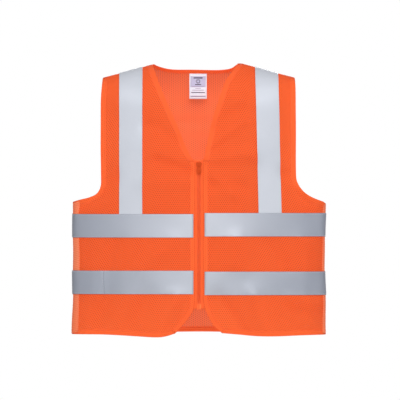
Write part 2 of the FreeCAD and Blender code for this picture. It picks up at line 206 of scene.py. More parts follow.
def folds(s, t):
    """How far the folds lift the cloth off the form."""
    turn = s * 2 * math.pi / GIRTH
    total = 0.0012 * np.sin(6 * turn + 1.1) * np.sin(t * 17 + 0.6)
    total += 0.0005 * np.sin(9 * turn + t * 33 + 2.0) + 0.0004 * np.sin(5 * turn - t * 61)
    low = np.clip((t - 0.45) / 0.25, 0, 1)
    total += 0.0030 * low**2 * np.sin(8 * turn + 0.7)
    for to_s, drawn in ((front_s, FRONT_FOLDS), (back_s, BACK_FOLDS)):
        for x0, z0, x1, z1, width, height in np.array(drawn) / 1000:
            start = np.array([to_s(x0), down_t(x0, z0)])
            way = np.array([to_s(x1), down_t(x1, z1)]) - start
            off_s = np.mod(s - start[0] + GIRTH / 2, GIRTH) - GIRTH / 2
            off_t = t - start[1]
            share = np.clip((off_s * way[0] + off_t * way[1]) / (way @ way), 0, 1)
            away = np.hypot(off_s - share * way[0], off_t - share * way[1])
            total += height * np.exp(-((away / width) ** 2))
    from_zip = np.mod(s + GIRTH / 2, GIRTH) - GIRTH / 2
    calm = 1 - np.exp(-((from_zip / CALM_BY_ZIP) ** 4)) * (t > ABOVE_ZIP)
    calm *= 1 - np.exp(-((t / CALM_BY_RIDGE) ** 2))
    return total * calm


def round_and_down(u, w):
    u, w = np.broadcast_arrays(np.asarray(u, float), np.asarray(w, float))
    return np.where(w > 0, 2 * QUARTER - u, u), np.abs(w)


def normal(u, w):
    return outward(*round_and_down(u, w))


def place(u, w, lift=0.0):
    """The place in space of a point on the cloth, raised from it by lift."""
    s, t = round_and_down(u, w)
    raised = folds(s, t) + lift
    return bare(s, t) + outward(s, t) * raised[..., None]


# ---- outlines in the front view


def curve(a, b, c, d, step):
    """Even steps along a smooth curve from b towards c, where a comes before b and d after c."""
    count = max(2, round(np.linalg.norm(c - b) / step))
    u = np.arange(count)[:, None] / count
    return 0.5 * (2 * b + (c - a) * u + (2 * a - 5 * b + 4 * c - d) * u**2 + (3 * b - a - 3 * c + d) * u**3)


def smooth(points, step=STEP):
    """A smooth line through points in the front view, at even steps."""
    p = np.array(points, float)
    p = np.vstack([2 * p[0] - p[1], p, 2 * p[-1] - p[-2]])
    return np.vstack([curve(*p[i : i + 4], step) for i in range(len(p) - 3)] + [p[-2:-1]])


def mixed(a, b, count):
    """A straight line of points from a to b."""
    u = np.linspace(0, 1, count)[:, None]
    return np.array(a) * (1 - u) + np.array(b) * u


def on_cloth(line, back=False):
    """Turns a line in the front view into (u, w) on the front or the back of the cloth."""
    x, z = line[:, 0], line[:, 1]
    return together(front_s(x), down_t(x, z) * (1 if back else -1))


def level_line(x0, x1, z, back=False):
    """A line across the cloth at a height, at even steps along the cloth."""
    u = np.linspace(front_s(x0), front_s(x1), max(2, round(abs(front_s(x1) - front_s(x0)) / STEP)) + 1)
    x = np.sign(u) * np.interp(np.abs(u), WALKED, ROUND_X)
    return together(u, down_t(x, z) * (1 if back else -1))


VEE = {
    "left": [(0.085, 0), (0.060, -0.036), (0.043, -0.080), (0.0275, -0.128), (0.0165, -0.180),
             (FRONT_EDGE, VEE_BOTTOM)],
    "right": [(-0.102, 0), (-0.081, -0.058), (-0.063, -0.099), (-0.045, -0.139), (-0.026, -0.186),
              (-FRONT_EDGE, VEE_BOTTOM)],
}
BACK_NECK = [(-0.102, 0), (-0.072, -0.0104), (-0.048, -0.0140), (-0.010, -0.0145), (0.030, -0.0136),
             (0.052, -0.0120), (0.070, -0.0088), (0.085, 0)]
ARMHOLE = {
    "left": [(0.207, -0.031), (0.2085, -0.09), (0.2095, -0.17), (0.2095, -0.235), (0.2125, -0.259),
             (0.223, -0.276), (0.238, -0.288), (0.255, -0.2965), (SIDE, -0.304)],
    "right": [(-0.208, -0.031), (-0.2115, -0.09), (-0.2125, -0.18), (-0.2120, -0.245), (-0.2145, -0.268),
              (-0.2235, -0.283), (-0.240, -0.291), (-0.257, -0.2955), (-SIDE, -0.3005)],
}
FRONT_HEM = {
    "left": [(SIDE, -0.587), (0.225, -0.588), (0.170, -0.590), (0.125, -0.5895), (0.085, -0.586),
             (0.050, -0.583)],
    "right": [(-SIDE, -0.586), (-0.200, -0.5865), (-0.135, -0.590), (-0.095, -0.592), (-0.074, -0.5905),
              (-0.052, -0.584)],
}
SPLIT = {
    "left": [(0.050, -0.583), (0.034, -0.569), (0.025, -0.556), (0.016, -0.537), (0.0115, -0.522),
             (FRONT_EDGE, -0.505)],
    "right": [(-0.052, -0.584), (-0.0370, -0.568), (-0.0280, -0.557), (-0.0185, -0.545), (-0.0120, -0.531),
              (-FRONT_EDGE, -0.515)],
}


def front_edge_line(side):
    """From the shoulder down the V, the zip and the split to the hem."""
    split = smooth(SPLIT[side][::-1])
    vee = smooth(VEE[side])
    count = round((vee[-1][1] - split[0][1]) / STEP)
    return np.vstack([vee, mixed(vee[-1], split[0], count)[1:-1], split])


def seam_line(side):
    """The shoulder seam from the neck out to the armhole."""
    x0, x1 = VEE[side][0][0], ARMHOLE[side][0][0]
    x = np.linspace(x0, x1, round(abs(x1 - x0) / STEP))
    return together(x, ridge(x))


def seat_on_ridge(line):
    """Puts the end of a line that starts at the shoulder exactly on the shoulder line."""
    line = line.copy()
    line[0, 1] = ridge(line[0, 0])
    return line


def front_outline(side):
    arm = seat_on_ridge(smooth(ARMHOLE[side]))
    hem = smooth(FRONT_HEM[side])
    side_seam = mixed(arm[-1], hem[0], round((arm[-1][1] - hem[0][1]) / STEP))
    edge = seat_on_ridge(front_edge_line(side))
    return np.vstack([on_cloth(part)[:-1] for part in (seam_line(side), arm, side_seam, hem, edge[::-1])])


def back_outline():
    runs = []
    for side in SIDES:
        arm = seat_on_ridge(smooth(ARMHOLE[side]))
        bottom = np.array([arm[-1][0], FRONT_HEM[side][0][1]])
        side_seam = mixed(arm[-1], bottom, round((arm[-1][1] - bottom[1]) / STEP))
        runs.append(np.vstack([seam_line(side)[:-1], arm[:-1], side_seam]))
    around = [runs[0], back_hem_line(), runs[1][::-1], back_neck_line()]
    return np.vstack([on_cloth(part, back=True)[:-1] for part in around])


def back_hem_line():
    left, right = (SIDE, FRONT_HEM["left"][0][1]), (-SIDE, FRONT_HEM["right"][0][1])
    return smooth([left, (0.15, HEM - 0.002), (0, HEM + 0.001), (-0.15, HEM - 0.002), right])


def back_neck_line():
    neck = smooth(BACK_NECK)
    neck[0, 1], neck[-1, 1] = ridge(neck[0, 0]), ridge(neck[-1, 0])
    return neck


# ---- mesh making


def link(name, vertices, faces, uvs):
    mesh = bpy.data.meshes.new(name)
    mesh.from_pydata([tuple(v) for v in vertices], [], [tuple(f) for f in faces])
    layer = mesh.uv_layers.new(name="UVMap")
    corner = np.empty(len(mesh.loops), int)
    mesh.loops.foreach_get("vertex_index", corner)
    layer.data.foreach_set("uv", np.asarray(uvs, np.float32)[corner].ravel())
    mesh.polygons.foreach_set("use_smooth", [True] * len(mesh.polygons))
    mesh.update()
    piece = bpy.data.objects.new(name, mesh)
    bpy.context.scene.collection.objects.link(piece)
    return piece


def polygon_area(outline):
    x, y = outline[:, 0], outline[:, 1]
    return abs(np.dot(x, np.roll(y, -1)) - np.dot(y, np.roll(x, -1))) / 2


def inside(points, outline):
    """Which points are inside a closed outline."""
    x, y = points[:, :1], points[:, 1:]
    x0, y0 = outline[:, 0], outline[:, 1]
    x1, y1 = np.roll(x0, -1), np.roll(y0, -1)
    crosses = (y0 > y) != (y1 > y)
    with np.errstate(divide="ignore", invalid="ignore"):
        at = (x1 - x0) * (y - y0) / (y1 - y0) + x0
    return (crosses & (x < at)).sum(axis=1) % 2 == 1


def cut_cloth(name, outline):
    """A panel of cloth with an exact outline, evenly meshed, and laid on the form."""
    low, high = outline.min(axis=0), outline.max(axis=0)
    rows = np.arange(low[1], high[1], STEP * 0.866)
    points = []
    for i, t in enumerate(rows):
        s = np.arange(low[0] + STEP / 2 * (i % 2), high[0], STEP)
        points.append(together(s, t))
    points = np.vstack(points)
    points = points[inside(points, outline)]
    nearest = np.full(len(points), 1.0)
    for corner in outline:
        nearest = np.minimum(nearest, np.hypot(*(points - corner).T))
    points = points[nearest > STEP * 0.6]
    flat = np.vstack([outline, points])
    count = len(outline)
    edges = [(i, (i + 1) % count) for i in range(count)]
    found = geometry.delaunay_2d_cdt([Vector(p) for p in flat], edges, [list(range(count))], 1, 1e-7)
    flat = np.array([tuple(p) for p in found[0]])
    piece = link(name, place(*flat.T), found[2], flat)
    return piece, tuple(high - low), polygon_area(outline)


def left_of(path):
    """Unit vectors to the left of a path."""
    ahead = unit(np.gradient(path, axis=0))
    return together(-ahead[:, 1], ahead[:, 0])


class Way:
    """A path on the cloth with the direction across it, to its left, at each point. The direction can be the
    same all along, or be turned to follow another seam at the first or the last point."""

    def __init__(self, points, across=None, first=None, last=None):
        self.points = points
        self.across = left_of(points)
        if across is not None:
            same = np.tile(np.array(across, float), (len(points), 1))
            self.across = same * np.sign((same * self.across).sum(axis=1, keepdims=True))
        count = min(6, len(points) // 2)
        for step, end, wanted in ((1, 0, first), (-1, -1, last)):
            if wanted is None:
                continue
            wanted = np.array(wanted, float)
            wanted = wanted / (wanted @ self.across[end])
            for k in range(count):
                i = end + step * k
                self.across[i] += (wanted - self.across[i]) * (1 - k / count)

    def aside(self, distance):
        return self.points + self.across * distance


def walk(path):
    """The distance from a path's start to each of its points."""
    return np.concatenate([[0], np.cumsum(np.linalg.norm(np.diff(path, axis=0), axis=1))])


def skin(rows, around):
    """Faces round rows of points, each row a closed ring, and across both ends."""
    faces = []
    for i in range(rows - 1):
        for j in range(around):
            k = (j + 1) % around
            faces.append((i * around + j, i * around + k, (i + 1) * around + k, (i + 1) * around + j))
    return faces + [tuple(range(around))[::-1], tuple((rows - 1) * around + j for j in range(around))]


def ribbon(way, section):
    """Vertices, faces and uvs of a closed section swept along a way on the cloth.
    A section point is (distance to the left of the way, lift off the cloth)."""
    walked = walk(way.points)
    vertices = [place(*way.aside(aside).T, lift) for aside, lift in section]
    uvs = [together(walked, aside) for aside, _ in section]
    faces = skin(len(walked), len(section))
    return np.stack(vertices, axis=1).reshape(-1, 3), faces, np.stack(uvs, axis=1).reshape(-1, 2)


def join(name, parts, crisp=False):
    """One object from several lots of vertices, faces and uvs, with its sharper edges left sharp if crisp."""
    vertices, faces, uvs, first = [], [], [], 0
    for part_vertices, part_faces, part_uvs in parts:
        vertices.append(part_vertices)
        uvs.append(part_uvs)
        faces += [tuple(v + first for v in face) for face in part_faces]
        first += len(part_vertices)
    piece = link(name, np.vstack(vertices), faces, np.vstack(uvs))
    if crisp:
        piece.data.set_sharp_from_angle(angle=math.radians(38))
    return piece


def flat_section(width, thick, lift, count=10):
    """A thin closed strip, centred on its path, with its edges just rounded."""
    inside_edge = [0.5 - 0.0012 / width, 0.5 - 0.0004 / width]
    steps = np.linspace(inside_edge[0], -inside_edge[0], count)
    across = np.concatenate([inside_edge[1:], steps, [-inside_edge[1]]]) * width
    top = [(aside, lift + thick) for aside in across]
    bottom = [(aside, lift) for aside in across[::-1]]
    middle = lift + thick / 2
    return [(width / 2, middle)] + top + [(-width / 2, middle)] + bottom


def turned_section(width, half_thick=0.0005):
    """An edge turned over: round where it passes the cloth's edge, flat where it is sewn down."""
    out = 0.0007
    round_nose = [(0.0006, half_thick), (-out * 0.6, half_thick * 0.75), (-out, 0.0)]
    top = [(width, half_thick * 0.55), (width - 0.0008, half_thick * 0.9)]
    top += [(width * share, half_thick) for share in (0.75, 0.5, 0.25)] + round_nose[:2]
    return top + [round_nose[2]] + [(aside, -lift) for aside, lift in top[::-1]]


def into(path, outline):
    """The same path, in the way that has the cloth of an outline on its left."""
    middle = len(path) // 2
    probe = path[middle] + left_of(path)[middle] * 0.004
    return path if inside(probe[None], outline)[0] else path[::-1]


STITCH = 0.0024
STITCH_PITCH = 0.0034
THREAD = 0.00028


def stitch_row(path, lift):
    """Short stitches along a path, each dipping into the cloth at both ends. A lift below 0 is the inside."""
    walked = walk(path)
    count = max(1, int(walked[-1] / STITCH_PITCH))
    at = (np.arange(count) + 0.5) * walked[-1] / count

    def sample(distance):
        return np.interp(distance, walked, path[:, 0]), np.interp(distance, walked, path[:, 1])

    start, end = place(*sample(at - STITCH / 2), lift), place(*sample(at + STITCH / 2), lift)
    up = normal(*sample(at)) * math.copysign(THREAD, lift)
    ahead = end - start
    side = unit(np.cross(ahead, up)) * THREAD
    near, far = start + ahead * 0.25, end - ahead * 0.25
    rings = [start - up]
    for middle in (near, far):
        rings += [middle + side, middle + up, middle - side, middle - up]
    rings.append(end - up)
    vertices = np.stack(rings, axis=1).reshape(-1, 3)
    uvs = together(np.repeat(at, 10) + np.tile([0, 1, 1, 1, 1, 2, 2, 2, 2, 3], count) * STITCH / 3,
                   np.tile([0, 0, 1, 2, 3, 0, 1, 2, 3, 0], count) * THREAD)
    one = []
    for j in range(4):
        k = (j + 1) % 4
        one += [(0, 1 + j, 1 + k), (1 + k, 1 + j, 5 + j, 5 + k), (9, 5 + k, 5 + j)]
    faces = [tuple(10 * i + v for v in face) for i in range(count) for face in one]
    return vertices, faces, uvs


def sweep(points, upright, section):
    """Vertices, faces and uvs of a closed section swept along points in space. A section point is a distance
    across, away from the upright direction, and a distance along it."""
    points = np.asarray(points, float)
    ahead = unit(np.gradient(points, axis=0))
    side = unit(np.cross(ahead, upright))
    up = np.cross(side, ahead)
    vertices = np.stack([points + side * a + up * b for a, b in section], axis=1).reshape(-1, 3)
    rows, around = len(points), len(section)
    uvs = together(np.repeat(walk(points), around), np.tile(walk(np.array(section)), rows))
    return vertices, skin(rows, around), uvs


def oval(width, height, sides=8):
    angle = np.arange(sides) * 2 * math.pi / sides
    return [(width * math.cos(a), height * math.sin(a)) for a in angle]


def at_depth(line, y):
    """A line of (x, z) in the front view, put at a depth."""
    return together(line[:, 0], y, line[:, 1])


def moulding(loops, profile):
    """Vertices, faces and uvs of a solid from closed outlines in the front view, the first one outside and
    anticlockwise, the rest holes and clockwise, and a profile of (inset, y) from its back to its front."""
    vertices, faces, levels = [], [], []
    first = 0
    for inset, y in profile:
        level = []
        for loop in loops:
            ahead = unit(np.roll(loop, -1, axis=0) - np.roll(loop, 1, axis=0))
            vertices.append(at_depth(loop + together(-ahead[:, 1], ahead[:, 0]) * inset, y))
            level.append(list(range(first, first + len(loop))))
            first += len(loop)
        levels.append(level)
    for rear, front in zip(levels, levels[1:]):
        for a, b in zip(rear, front):
            for i in range(len(a)):
                k = (i + 1) % len(a)
                faces.append((a[i], a[k], b[k], b[i]))
    vertices = np.vstack(vertices)
    for level, flip in ((levels[0], True), (levels[-1], False)):
        index = [v for loop in level for v in loop]
        flat = [Vector((vertices[v][0] * 1000, vertices[v][2] * 1000)) for v in index]
        start, edges = 0, []
        for loop in level:
            edges += [(start + i, start + (i + 1) % len(loop)) for i in range(len(loop))]
            start += len(loop)
        found = geometry.delaunay_2d_cdt(flat, edges, [], 0, 1e-7)
        rings = [vertices[loop][:, [0, 2]] for loop in level]
        for face in found[2]:
            corners = tuple(index[found[3][v][0]] for v in face)
            middle = vertices[list(corners)][:, [0, 2]].mean(axis=0)[None]
            if not inside(middle, rings[0])[0] or any(inside(middle, ring)[0] for ring in rings[1:]):
                continue
            faces.append(corners[::-1] if flip else corners)
    return vertices, faces, vertices[:, [0, 2]]


def rounded(points, step=0.0004):
    """A closed smooth outline, anticlockwise, through points given in millimetres."""
    p = np.array(points, float) / 1000
    p = np.vstack([p[-1:], p, p[:2]])
    return np.vstack([curve(*p[i : i + 4], step) for i in range(len(p) - 3)])


def both_halves(half):
    """A whole outline from its right half, listed from the bottom up."""
    return half + [(-x, z) for x, z in half[::-1] if x > 0]


def block(x0, x1, z0, z1, corner):
    """A rectangle with round corners, anticlockwise, in metres."""
    line = []
    for cx, cz, start in ((x1, z0, -90), (x1, z1, 0), (x0, z1, 90), (x0, z0, 180)):
        middle = np.array([cx - math.copysign(corner, cx - (x0 + x1) / 2),
                           cz - math.copysign(corner, cz - (z0 + z1) / 2)])
        for turn in range(0, 91, 18):
            angle = math.radians(start + turn)
            line.append(middle + corner * np.array([math.cos(angle), math.sin(angle)]))
    return np.array(line)


# ---- materials


class Nodes:
    """Short names for making a material's nodes."""

    def __init__(self, name):
        self.material = bpy.data.materials.new(name)
        self.material.use_nodes = True
        self.tree = self.material.node_tree
        self.shader = self.tree.nodes["Principled BSDF"]

    def new(self, kind, *first, **named):
        """A node, with values or links for its first inputs in order, and for others by name."""
        node = self.tree.nodes.new("ShaderNode" + kind)
        for socket, value in zip(node.inputs, first):
            self.feed(socket, value)
        for key, value in named.items():
            self.feed(node.inputs[key.replace("_", " ")], value)
        return node

    def feed(self, socket, value):
        if isinstance(value, bpy.types.NodeSocket):
            self.tree.links.new(value, socket)
        else:
            socket.default_value = value

    def math(self, operation, *values):
        node = self.new("Math", *values)
        node.operation = operation
        return node.outputs[0]

    def plus(self, a, b):
        return self.math("ADD", a, b)

    def times(self, a, b):
        return self.math("MULTIPLY", a, b)

    def less_from_one(self, value):
        return self.math("SUBTRACT", 1.0, value)

    def wave(self, along, pitch):
        """A sine that goes through one cycle in each pitch."""
        return self.math("SINE", self.times(along, 2 * math.pi / pitch))

    def mix(self, share, a, b):
        node = self.new("Mix")
        node.data_type = "RGBA"
        for socket, value in ((0, share), (6, a), (7, b)):
            self.feed(node.inputs[socket], value)
        return node.outputs[2]

    def tint(self, color, where, share, other):
        """A colour that takes up to a share of another one."""
        return self.mix(self.times(where, share), color, other)

    def ramp(self, value, low, high):
        """0 at low, 1 at high, smooth between."""
        node = self.new("MapRange", value, low, high)
        node.interpolation_type = "SMOOTHSTEP"
        return node.outputs[0]

    def apart(self, vector):
        return list(self.new("SeparateXYZ", vector).outputs)

    def uv(self):
        return self.apart(self.new("TexCoord").outputs["UV"])[:2]

    def place(self):
        return self.new("TexCoord").outputs["Object"]

    def noise(self, scale, detail=2.0):
        return self.new("TexNoise", Vector=self.place(), Scale=scale, Detail=detail).outputs[0]

    def finish(self, color, roughness, height=None, strength=0.3, distance=0.0002, **others):
        if height is not None:
            bump = self.new("Bump", Height=height, Strength=strength, Distance=distance)
            others["Normal"] = bump.outputs[0]
        for key, value in dict(Base_Color=color, Roughness=roughness, **others).items():
            self.feed(self.shader.inputs[key.replace("_", " ")], value)
        return self.material

    def let_light_through(self, color, share, alpha=None):
        """Thin cloth shows some of the light behind it, and nothing of itself where it has holes."""
        glow = self.new("BsdfTranslucent", Color=color).outputs[0]
        cloth = self.new("MixShader", share, self.shader.outputs[0], glow).outputs[0]
        if alpha is not None:
            cloth = self.new("MixShader", alpha, self.new("BsdfTransparent").outputs[0], cloth).outputs[0]
        self.feed(self.tree.nodes["Material Output"].inputs["Surface"], cloth)


def rgb(red, green, blue):
    """Linear colour from 0-255 sRGB values."""
    linear = []
    for part in (red, green, blue):
        part /= 255
        linear.append(part / 12.92 if part <= 0.04045 else ((part + 0.055) / 1.055) ** 2.4)
    return (*linear, 1.0)


ORANGE = rgb(249, 110, 57)
PALE_ORANGE = rgb(253, 122, 76)
DOUBLED = 0.08  # share of the light that comes through doubled or close-woven cloth


MESH_PITCH = 0.0046
HOLE_ROWS = 1.732  # pitches between a row of holes and the next but one


def hole_distance(n, upright):
    """Distance to the middle of the nearest hole of a staggered grid, in pitches."""
    u, v = n.uv() if upright else n.uv()[::-1]

    def from_middle(along, pitch, shift):
        return n.math("SUBTRACT", n.math("FRACT", n.plus(n.math("DIVIDE", along, pitch), shift)), 0.5)

    found = []
    for shift in (0.0, 0.5):
        a = from_middle(u, MESH_PITCH, shift)
        b = n.times(from_middle(v, MESH_PITCH * HOLE_ROWS, shift), HOLE_ROWS)
        found.append(n.math("SQRT", n.plus(n.times(a, a), n.times(b, b))))
    return n.math("MINIMUM", *found)


def mesh_cloth(name, cover, upright=True, color=ORANGE, glow=0.0):
    """Fluorescent knitted mesh: a staggered grid of small round holes between looped threads, with painted shade
    in and around the holes. cover is how much of each hole is filled by stray threads, 1 where the cloth is
    doubled, and glow how much it glows, which is painted light."""
    n = Nodes(name)
    distance = hole_distance(n, upright)
    thread = n.ramp(distance, 0.12, 0.34)
    u, v = n.uv()
    knit = n.times(n.wave(u, 0.00080), n.wave(v, 0.00115))
    fuzz = n.noise(900.0)
    shade = n.tint(color, n.ramp(n.noise(5.0), 0.30, 0.72), 0.40, rgb(244, 102, 49))
    # painted shade: deep orange in and around each hole, where the knit dips and the holes look into shadow
    shade = n.tint(shade, n.less_from_one(thread), 0.80, rgb(218, 70, 25))
    shade = n.tint(shade, fuzz, 0.16, PALE_ORANGE)
    if cover < 1:
        n.let_light_through(shade, 0.42, n.math("MAXIMUM", n.ramp(distance, 0.090, 0.150), cover))
    else:
        n.let_light_through(shade, DOUBLED)
    relief = n.plus(thread, n.times(knit, 0.18))
    # glow is emission: painted light, used only by the back's neck and hem edges
    return n.finish(shade, n.plus(0.82, n.times(fuzz, 0.12)), relief, 0.5, 0.0003, Sheen_Weight=0.05,
                    Sheen_Roughness=0.6, Sheen_Tint=PALE_ORANGE, Specular_IOR_Level=0.12,
                    Emission_Color=shade, Emission_Strength=glow)


def woven(name, color, deep, pitch):
    """Plain woven cloth: over and under in a fine grid."""
    n = Nodes(name)
    u, v = n.uv()
    weave = n.times(n.plus(n.times(n.wave(u, pitch), n.wave(v, pitch)), 1.0), 0.5)
    cloud = n.ramp(n.noise(40.0), 0.3, 0.7)
    shade = n.tint(color, n.less_from_one(weave), 0.5, deep)
    shade = n.tint(shade, cloud, 0.08, PALE_ORANGE)
    n.let_light_through(shade, DOUBLED)
    return n.finish(shade, n.plus(0.62, n.times(cloud, 0.16)), weave, 0.5, 0.0002, Sheen_Weight=0.03,
                    Sheen_Roughness=0.5, Specular_IOR_Level=0.12)


def reflective(name, near, far, turned, turned_lighting_color):
    """Glass-bead retroreflective tape: silver grey, finely grained, with painted shade towards the sides, towards
    the bottom and where it turns away from view. near and far are the distances from the middle of the vest
    between
    which the painted shade deepens, and turned is how much of the turned colour it takes where it turns away:
    painted shade on the bands and a painted highlight on the shoulder tapes."""
    n = Nodes(name)
    facing = n.new("LayerWeight", Blend=0.5).outputs["Facing"]
    x, _, z = n.apart(n.place())
    cloud = n.ramp(n.noise(14.0, 4.0), 0.28, 0.75)
    bead = n.noise(3200.0, 1.0)
    u, v = n.uv()
    weave = n.times(n.wave(u, 0.0006), n.wave(v, 0.0006))
    color = n.tint(rgb(181, 185, 194), cloud, 0.4, rgb(190, 193, 201))
    # painted shade: darker from near to far out from the middle of the vest
    color = n.mix(n.ramp(n.math("ABSOLUTE", x), near, far), color, rgb(142, 147, 159))
    # painted shade: darker towards the bottom
    color = n.tint(color, n.ramp(z, -0.40, -0.48), 0.24, rgb(128, 133, 144))
    # where it turns away from view it takes its turned colour: painted shade on the bands, a painted highlight on
    # the shoulder tapes
    color = n.tint(color, n.ramp(facing, 0.03, 0.75), turned, turned_lighting_color)
    color = n.tint(color, n.ramp(n.noise(260.0, 3.0), 0.60, 0.76), 0.10, rgb(150, 155, 165))
    color = n.tint(color, bead, 0.10, rgb(226, 230, 238))
    relief = n.plus(bead, n.times(weave, 0.35))
    return n.finish(color, n.plus(0.46, n.times(cloud, 0.14)), relief, 0.22, 0.00008, Metallic=0.15,
                    Sheen_Weight=0.05, Specular_IOR_Level=0.3)


def moulded(name, color, roughness):
    """Moulded polyester or enamelled metal, with light wear."""
    n = Nodes(name)
    grain = n.noise(1400.0, 3.0)
    shade = n.tint(color, n.ramp(n.noise(330.0, 4.0), 0.60, 0.78), 0.16, PALE_ORANGE)
    rough = n.plus(roughness, n.times(grain, 0.14))
    return n.finish(shade, rough, grain, 0.2, 0.00008, Specular_IOR_Level=0.10)


def threads(name, color, deep):
    n = Nodes(name)
    twist = n.wave(n.plus(*n.uv()), 0.0005)
    return n.finish(n.tint(color, n.plus(twist, 1.0), 0.25, deep), 0.55, twist, 0.3, 0.0001, Sheen_Weight=0.2)


def satin():
    """White satin label cloth."""
    n = Nodes("white_label")
    cloud = n.ramp(n.noise(60.0), 0.3, 0.7)
    shade = n.mix(cloud, rgb(221, 236, 251), rgb(229, 241, 253))
    warp = n.wave(n.uv()[0], 0.00035)
    return n.finish(shade, n.plus(0.42, n.times(cloud, 0.12)), warp, 0.2, 0.00006, Sheen_Weight=0.15)


def ink(name, color, deep):
    n = Nodes(name)
    speck = n.noise(1500.0)
    return n.finish(n.mix(speck, deep, color), 0.7, speck, 0.1, 0.00003)


MATERIALS = {  # for each kind of surface, its slot and its material
    "mesh": ("orange_mesh", mesh_cloth("orange_mesh", 0.45)),
    "back_mesh": ("orange_mesh", mesh_cloth("orange_back_mesh", 0.55, False)),
    # a paler copy of the mesh: painted light along the side seams
    "facing": ("orange_mesh", mesh_cloth("orange_lit_side_facing", 1, False, rgb(255, 144, 104))),
    "double": ("orange_mesh", mesh_cloth("orange_mesh_turned", 1, True, rgb(246, 99, 48))),
    # a paler copy of the turned mesh that also glows: painted light that fills the shade on the inner faces of the
    # back's neck and hem edges
    "lit_back_edge": ("orange_mesh", mesh_cloth("orange_back_edge", 1, True, rgb(251, 114, 62), 0.16)),
    "binding": ("orange_binding", woven("orange_binding", rgb(246, 99, 48), rgb(240, 90, 40), 0.0007)),
    "tape": ("reflective_tape", reflective("shoulder_tape", 0.30, 0.40, 0.5, rgb(200, 203, 212))),
    "band_tape": ("reflective_tape", reflective("band_tape", -0.06, 0.27, 0.9, rgb(122, 127, 141))),
    "zip_tape": ("orange_zip_tape", woven("orange_zip_tape", rgb(249, 106, 52), rgb(243, 96, 44), 0.0006)),
    "coil": ("orange_coil", moulded("orange_coil", rgb(255, 114, 60), 0.46)),
    "slider": ("painted_slider", moulded("painted_slider", rgb(196, 68, 22), 0.50)),
    "thread": ("orange_binding", threads("orange_thread", rgb(236, 84, 34), rgb(190, 62, 24))),
    "grey_thread": ("reflective_tape", threads("grey_thread", rgb(196, 200, 208), rgb(140, 145, 156))),
    "label": ("white_label", satin()),
    "dark_ink": ("white_label", ink("dark_ink", rgb(92, 92, 116), rgb(58, 58, 84))),
    "pale_ink": ("white_label", ink("pale_ink", rgb(170, 168, 196), rgb(146, 146, 178))),
    "field_ink": ("white_label", ink("field_ink", rgb(188, 192, 220), rgb(178, 184, 214))),
}


def finish_piece(piece, material, body, *stands_for):
    """Gives a piece its material, and its body unless that is a side's name: then the piece only has its transform
    baked.
    """
    slot, look = MATERIALS[material]
    piece.data.materials.append(look)
    if body in ("left", "right"):
        bend_with(piece, body)
    else:
        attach(piece, body)
    if stands_for:
        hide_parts(*stands_for)
    return piece


def bend_with(piece, side):
    """Works out the front's crease from its joint, but only bakes the piece's transform: the piece is not bent."""
    joint = JOINTS[f"{side}_front_fold"]
    axis = Vector(joint["axis"]).normalized()
    middle = Vector(joint["pos_m"])
    inward = axis.cross(Vector((0, 1, 0))).normalized()
    if inward.x * middle.x > 0:
        inward = -inward
    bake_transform(piece)


def strip(name, way, section, material, body, stands_for=()):
    """A strip of cloth along a way."""
    piece = join(name, [ribbon(way, section)])
    finish_piece(piece, material, body, *stands_for)


# ---- cloth panels

OUTLINES = {"back": back_outline(), "left": front_outline("left"), "right": front_outline("right")}
STITCHES = {"vest": [], "left": [], "right": [], "left_flap": [], "right_flap": []}
TAPE_STITCHES = {"vest": [], "left": [], "right": []}


def sew(group, path, lift, both=True, rows=STITCHES):
    """A row of stitches at a lift off the cloth, and one below it if both."""
    rows[group].append(stitch_row(path, lift))
    if both:
        rows[group].append(stitch_row(path, -lift))


def panels():
    back, size, area = cut_cloth("back_cloth", OUTLINES["back"])
    finish_piece(back, "back_mesh", "vest", "back_panel")
    for side in SIDES:
        front, size, area = cut_cloth(f"{side}_front_cloth", OUTLINES[side])
        finish_piece(front, "mesh", side, f"{side}_front_panel", f"{side}_flap_panel")


# ---- turned edges, hems and seams

NECK_EDGE, ARM_EDGE, HEM_EDGE, FRONT_FOLD = 0.0116, 0.0115, 0.0100, 0.0100
SEWN = 0.0020  # from the inner edge of a turned edge to its stitching
EDGE_TOP = 0.00062  # where the stitches lie on a turned edge
SIDE_FACING = {"left": 0.022, "right": 0.036}
UNDER_TAPE = (0.119, 0.181)  # the stretch of the shoulder seam that the shoulder tape covers
SEAM_STITCHES = 0.0055  # from the side seam to each row of its stitching
SHOULDER_SEAM = (0.011, 0.0006, -0.0004)  # width, thickness and lift off the cloth
SIDE_SEAM = (0.016, 0.0009, -0.00045)
RIDGE_WAY = (1, 0)  # the direction of the shoulder line, and of any level line near the zip


def turned_edge(name, path, width, group, outline, stands_for=(), material="double", half_thick=0.0005,
                mitre=(0, 0)):
    """A turned edge along a path, stitched down. mitre says which of its ends are cut along the ridge's way."""
    way = Way(into(path, outline), None, *[RIDGE_WAY if turned else None for turned in mitre])
    strip(name, way, turned_section(width, half_thick), material, group, stands_for)
    sew(group, way.aside(width - SEWN), half_thick + 0.00012)


def neck_edges():
    turned_edge("back_neck_edge", on_cloth(back_neck_line(), True), NECK_EDGE, "vest", OUTLINES["back"],
                ["back_neck_binding"], "lit_back_edge", mitre=(1, 1))
    for side in SIDES:
        vee = on_cloth(seat_on_ridge(smooth(VEE[side])))
        turned_edge(f"{side}_neck_edge", vee, NECK_EDGE, side, OUTLINES[side],
                    [f"{side}_neck_binding", f"{side}_flap_binding"], "binding", mitre=(1, 1))


def armhole_edges():
    for side in SIDES:
        arm = seat_on_ridge(smooth(ARMHOLE[side]))
        front = into(on_cloth(arm), OUTLINES[side])
        back = on_cloth(arm, True)
        if front[0][1] == 0:
            around = np.vstack([back[::-1][:-1], front])
        else:
            around = np.vstack([front[:-1], back])
        strip(f"{side}_armhole_edge", Way(around), turned_section(ARM_EDGE), "double", "vest",
              [f"{side}_armhole_binding"])
        sew("vest", Way(around).aside(ARM_EDGE - SEWN), EDGE_TOP)


